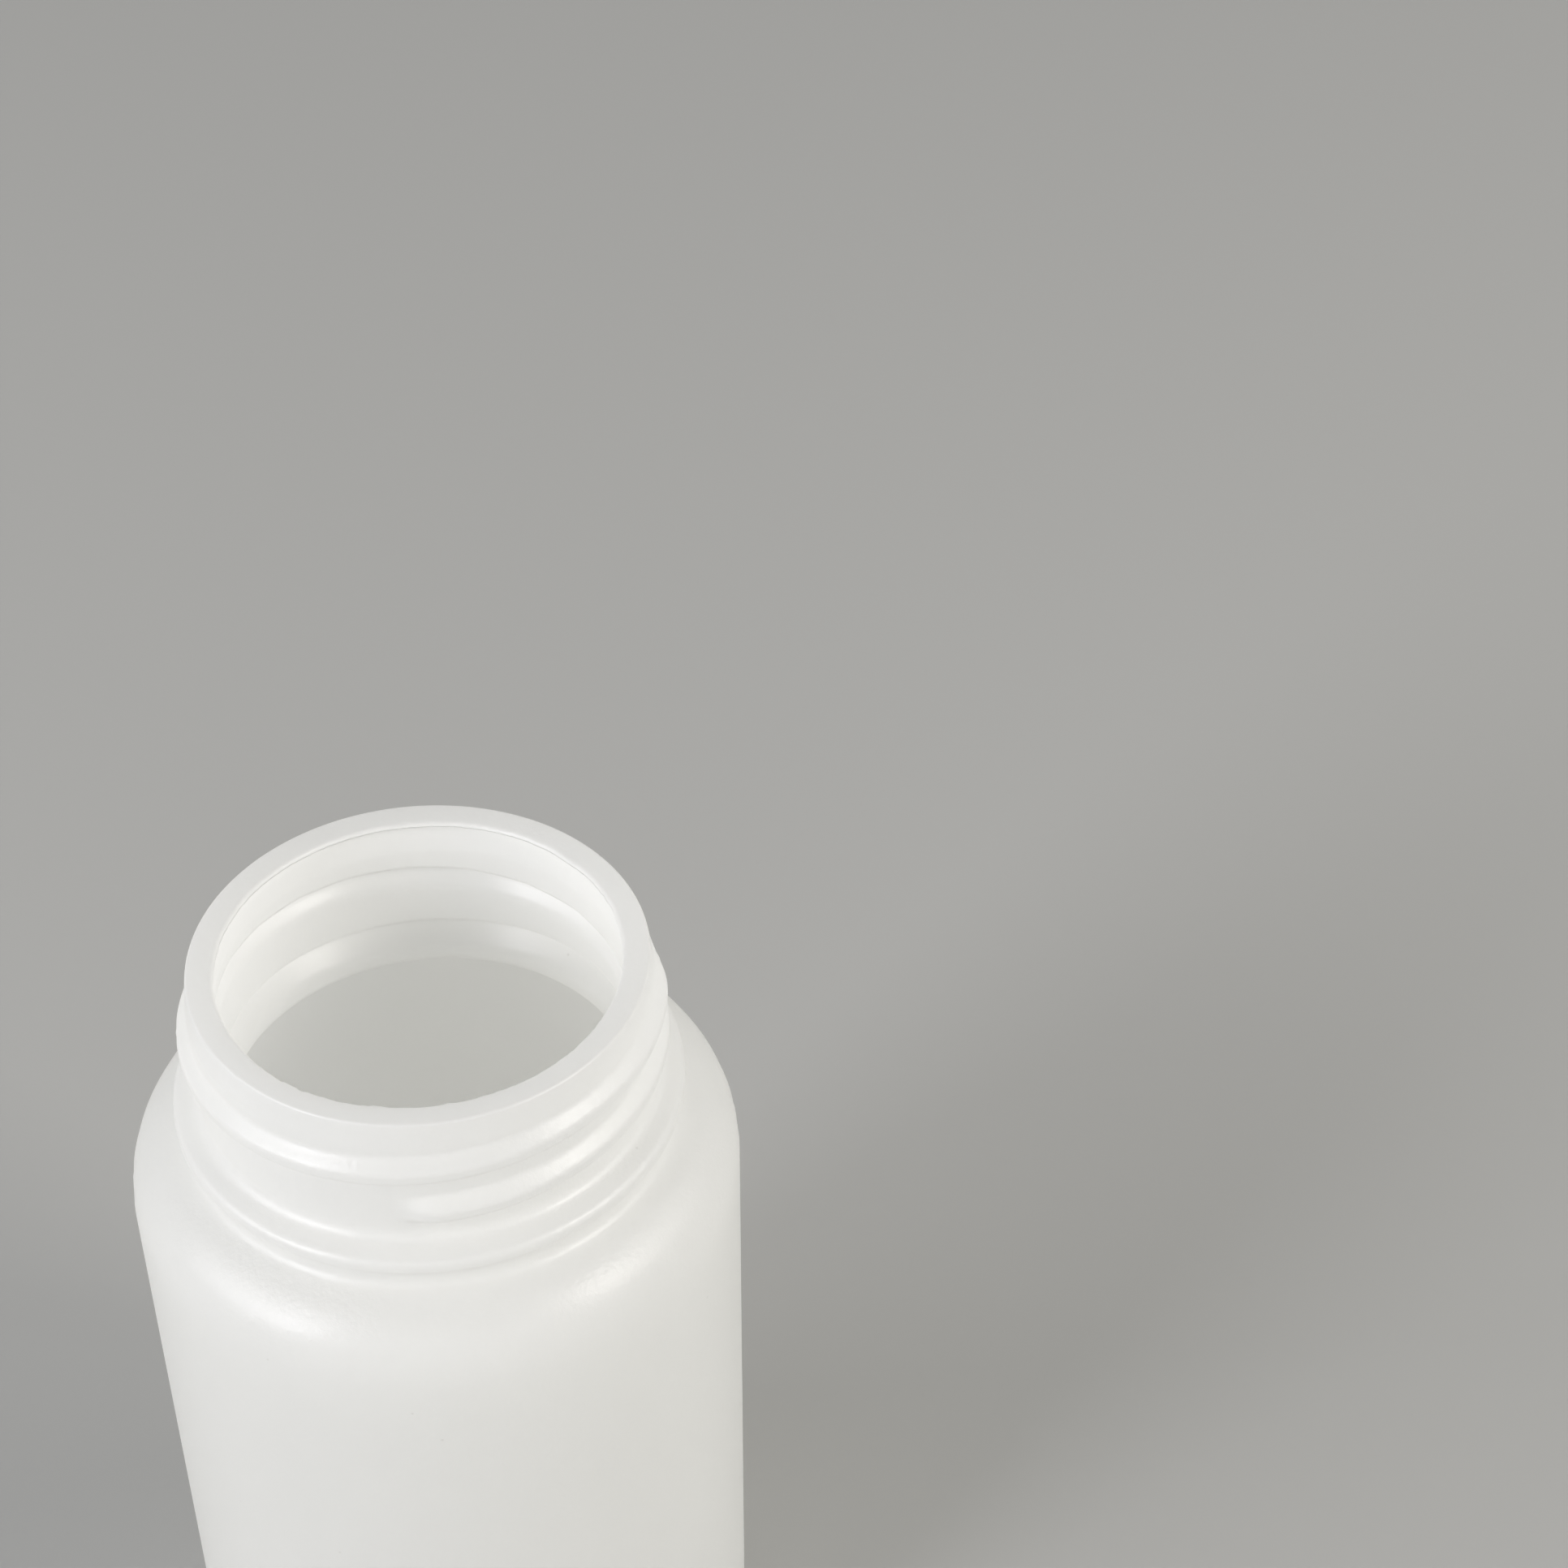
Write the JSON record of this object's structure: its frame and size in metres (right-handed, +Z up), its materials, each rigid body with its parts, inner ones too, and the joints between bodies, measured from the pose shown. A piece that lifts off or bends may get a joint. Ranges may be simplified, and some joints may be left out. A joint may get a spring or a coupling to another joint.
{
  "type": "pill bottle",
  "caption": "Round white plastic bottle for tablets, with a wide threaded neck, a bead below the thread, a sloping shoulder and a pushed-up base.",
  "frame": {"origin": "on the bottle's axis, in the plane that it stands on", "axes": "+Z up along the bottle's axis, towards the mouth; -Y towards the front, where the picture's camera stands"},
  "size_m": [0.0476, 0.0476, 0.086],
  "materials": {
    "white_polyethylene": "semi-matte blown polyethylene, slightly translucent"
  },
  "bodies": {
    "root": {"bottle": "white_polyethylene"}
  },
  "joints": []
}
